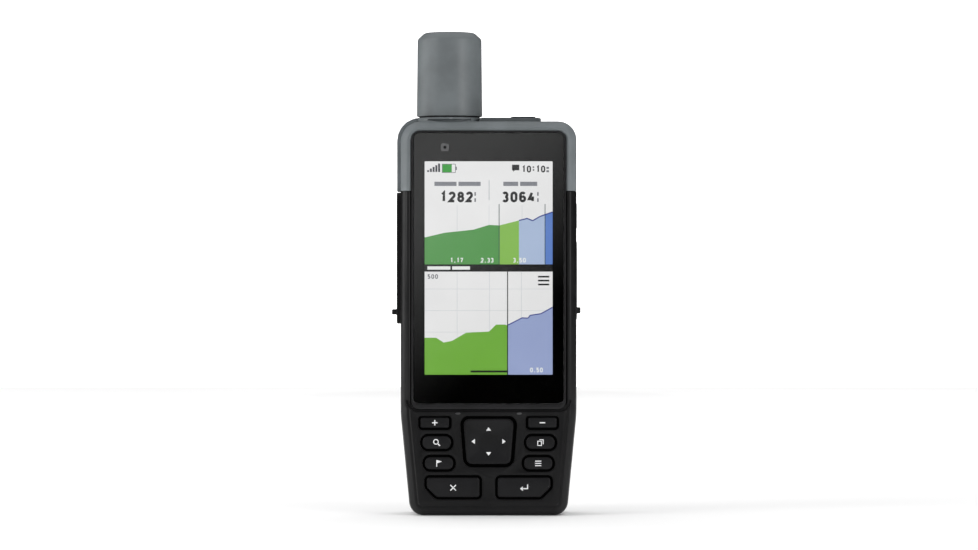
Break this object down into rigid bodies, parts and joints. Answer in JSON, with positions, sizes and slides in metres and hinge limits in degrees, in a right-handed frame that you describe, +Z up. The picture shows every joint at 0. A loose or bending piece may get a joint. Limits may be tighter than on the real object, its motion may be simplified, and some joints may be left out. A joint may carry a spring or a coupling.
{
  "type": "handheld satellite navigator",
  "caption": "Rugged handheld satellite navigation unit with a stubby helix antenna, portrait display, keypad, side covers, battery door and lanyard ring.",
  "frame": {"origin": "middle of the flat foot that the unit stands on", "axes": "+Z up the unit towards the antenna, display facing -Y, +X to the right of a person who reads the display"},
  "size_m": [0.0678, 0.0345, 0.1734],
  "materials": {
    "grey_shell": "satin grey moulded plastic with a fine spark texture",
    "antenna_grey": "satin grey moulded plastic",
    "black_housing": "black moulded plastic, fine texture",
    "rubber_black": "matt black elastomer",
    "seal_rubber": "dark grey silicone seal",
    "bezel_black": "semi-gloss black",
    "cover_glass": "strengthened cover glass, glossy",
    "ink_black": "black printed border",
    "lcd": "lit picture panel",
    "white_diffuser": "white light guide",
    "light_metal": "die-cast magnesium, matt",
    "key_black": "black keycap, soft sheen",
    "membrane": "silicone sheet",
    "board": "green solder mask",
    "steel": "stainless steel",
    "gold_contact": "gold-plated brass",
    "chip_black": "moulded chip package",
    "ceramic": "unglazed ceramic former",
    "copper": "copper strip",
    "clear_lens": "clear polycarbonate lens",
    "led_yellow": "phosphor-coated lamp chip",
    "battery_wrap": "shrink-wrapped battery pack",
    "vent_white": "breathable membrane"
  },
  "bodies": {
    "case": {"upper_front_shell": "grey_shell", "upper_rear_shell": "grey_shell", "front_housing": "black_housing", "rear_housing": "black_housing", "side_grip_left": "rubber_black", "side_grip_right": "rubber_black", "housing_gasket": "seal_rubber", "display_bezel": "bezel_black", "display_glass": "cover_glass", "display_mask": "ink_black", "lcd_panel": "lcd", "backlight_unit": "white_diffuser", "display_frame": "light_metal", "light_sensor": "chip_black", "main_board": "board", "shield_cans": "steel", "board_chips": "chip_black", "board_screws": "steel", "buzzer": "chip_black", "card_slot": "steel", "keypad_membrane": "membrane", "keypad_board": "board", "dome_switches": "steel", "antenna_cap": "antenna_grey", "antenna_core": "ceramic", "antenna_helix": "copper", "antenna_seal": "seal_rubber", "antenna_cable": "rubber_black", "top_panel": "black_housing", "lamp_lens": "clear_lens", "lamp_led": "led_yellow", "usb_port": "steel", "antenna_socket": "gold_contact", "battery_pack": "battery_wrap", "battery_contacts": "gold_contact", "latch_bushing": "gold_contact", "mount_spine": "black_housing", "spine_screws": "steel", "housing_screws": "steel", "vent_membrane": "vent_white"},
    "zoom_in_key": {"key_zoom_in": "key_black"},
    "zoom_out_key": {"key_zoom_out": "key_black"},
    "find_key": {"key_find": "key_black"},
    "page_key": {"key_page": "key_black"},
    "mark_key": {"key_mark": "key_black"},
    "menu_key": {"key_menu": "key_black"},
    "quit_key": {"key_quit": "key_black"},
    "enter_key": {"key_enter": "key_black"},
    "pad_rocker": {"dpad_rocker": "steel"},
    "pad": {"dpad_cap": "key_black"},
    "lamp_button": {"lamp_key": "rubber_black"},
    "power_button": {"power_key": "rubber_black"},
    "port_flap": {"port_cover": "rubber_black"},
    "socket_flap": {"socket_cover": "rubber_black"},
    "door": {"battery_door": "black_housing", "door_seal": "seal_rubber"},
    "latch": {"latch_screw": "steel"},
    "ring": {"d_ring": "steel"}
  },
  "joints": [
    {"name": "zoom_in_press", "type": "slide", "parent": "case", "child": "zoom_in_key", "axis": [0, 1, 0], "range_m": [0, 0.0006], "stiffness_N_per_m": 1500, "springref_m": -0.0004},
    {"name": "zoom_out_press", "type": "slide", "parent": "case", "child": "zoom_out_key", "axis": [0, 1, 0], "range_m": [0, 0.0006], "stiffness_N_per_m": 1500, "springref_m": -0.0004},
    {"name": "find_press", "type": "slide", "parent": "case", "child": "find_key", "axis": [0, 1, 0], "range_m": [0, 0.0006], "stiffness_N_per_m": 1500, "springref_m": -0.0004},
    {"name": "page_press", "type": "slide", "parent": "case", "child": "page_key", "axis": [0, 1, 0], "range_m": [0, 0.0006], "stiffness_N_per_m": 1500, "springref_m": -0.0004},
    {"name": "mark_press", "type": "slide", "parent": "case", "child": "mark_key", "axis": [0, 1, 0], "range_m": [0, 0.0006], "stiffness_N_per_m": 1500, "springref_m": -0.0004},
    {"name": "menu_press", "type": "slide", "parent": "case", "child": "menu_key", "axis": [0, 1, 0], "range_m": [0, 0.0006], "stiffness_N_per_m": 1500, "springref_m": -0.0004},
    {"name": "quit_press", "type": "slide", "parent": "case", "child": "quit_key", "axis": [0, 1, 0], "range_m": [0, 0.0006], "stiffness_N_per_m": 1500, "springref_m": -0.0004},
    {"name": "enter_press", "type": "slide", "parent": "case", "child": "enter_key", "axis": [0, 1, 0], "range_m": [0, 0.0006], "stiffness_N_per_m": 1500, "springref_m": -0.0004},
    {"name": "pad_up_down", "type": "hinge", "parent": "case", "child": "pad_rocker", "pos_m": [0, -0.0112, 0.0266], "axis": [1, 0, 0], "range_deg": [-2.5, 2.5], "stiffness_Nm_per_rad": 0.25},
    {"name": "pad_left_right", "type": "hinge", "parent": "pad_rocker", "child": "pad", "pos_m": [0, -0.0112, 0.0266], "axis": [0, 0, 1], "range_deg": [-2.5, 2.5], "stiffness_Nm_per_rad": 0.25},
    {"name": "lamp_press", "type": "slide", "parent": "case", "child": "lamp_button", "axis": [0, 0, -1], "range_m": [0, 0.0005], "stiffness_N_per_m": 1500, "springref_m": -0.0004},
    {"name": "power_press", "type": "slide", "parent": "case", "child": "power_button", "axis": [-1, 0, 0], "range_m": [0, 0.0005], "stiffness_N_per_m": 1500, "springref_m": -0.0004},
    {"name": "port_cover_hinge", "type": "hinge", "parent": "case", "child": "port_flap", "pos_m": [-0.03233, 0.0081, 0.092], "axis": [0, 0, -1], "range_deg": [0, 100], "stiffness_Nm_per_rad": 0.01, "springref_deg": -17.19},
    {"name": "socket_cover_hinge", "type": "hinge", "parent": "case", "child": "socket_flap", "pos_m": [0.03108, 0.0071, 0.084], "axis": [0, 0, 1], "range_deg": [0, 100], "stiffness_Nm_per_rad": 0.01, "springref_deg": -17.19},
    {"name": "door_lift", "type": "slide", "parent": "case", "child": "door", "axis": [0, 1, 0], "range_m": [0, 0.025]},
    {"name": "latch_turn", "type": "hinge", "parent": "door", "child": "latch", "pos_m": [0, 0.0144, 0.022], "axis": [0, 1, 0], "range_deg": [0, 90]},
    {"name": "ring_fold", "type": "hinge", "parent": "latch", "child": "ring", "pos_m": [0, 0.0174, 0.0245], "axis": [1, 0, 0], "range_deg": [0, 95]}
  ]
}
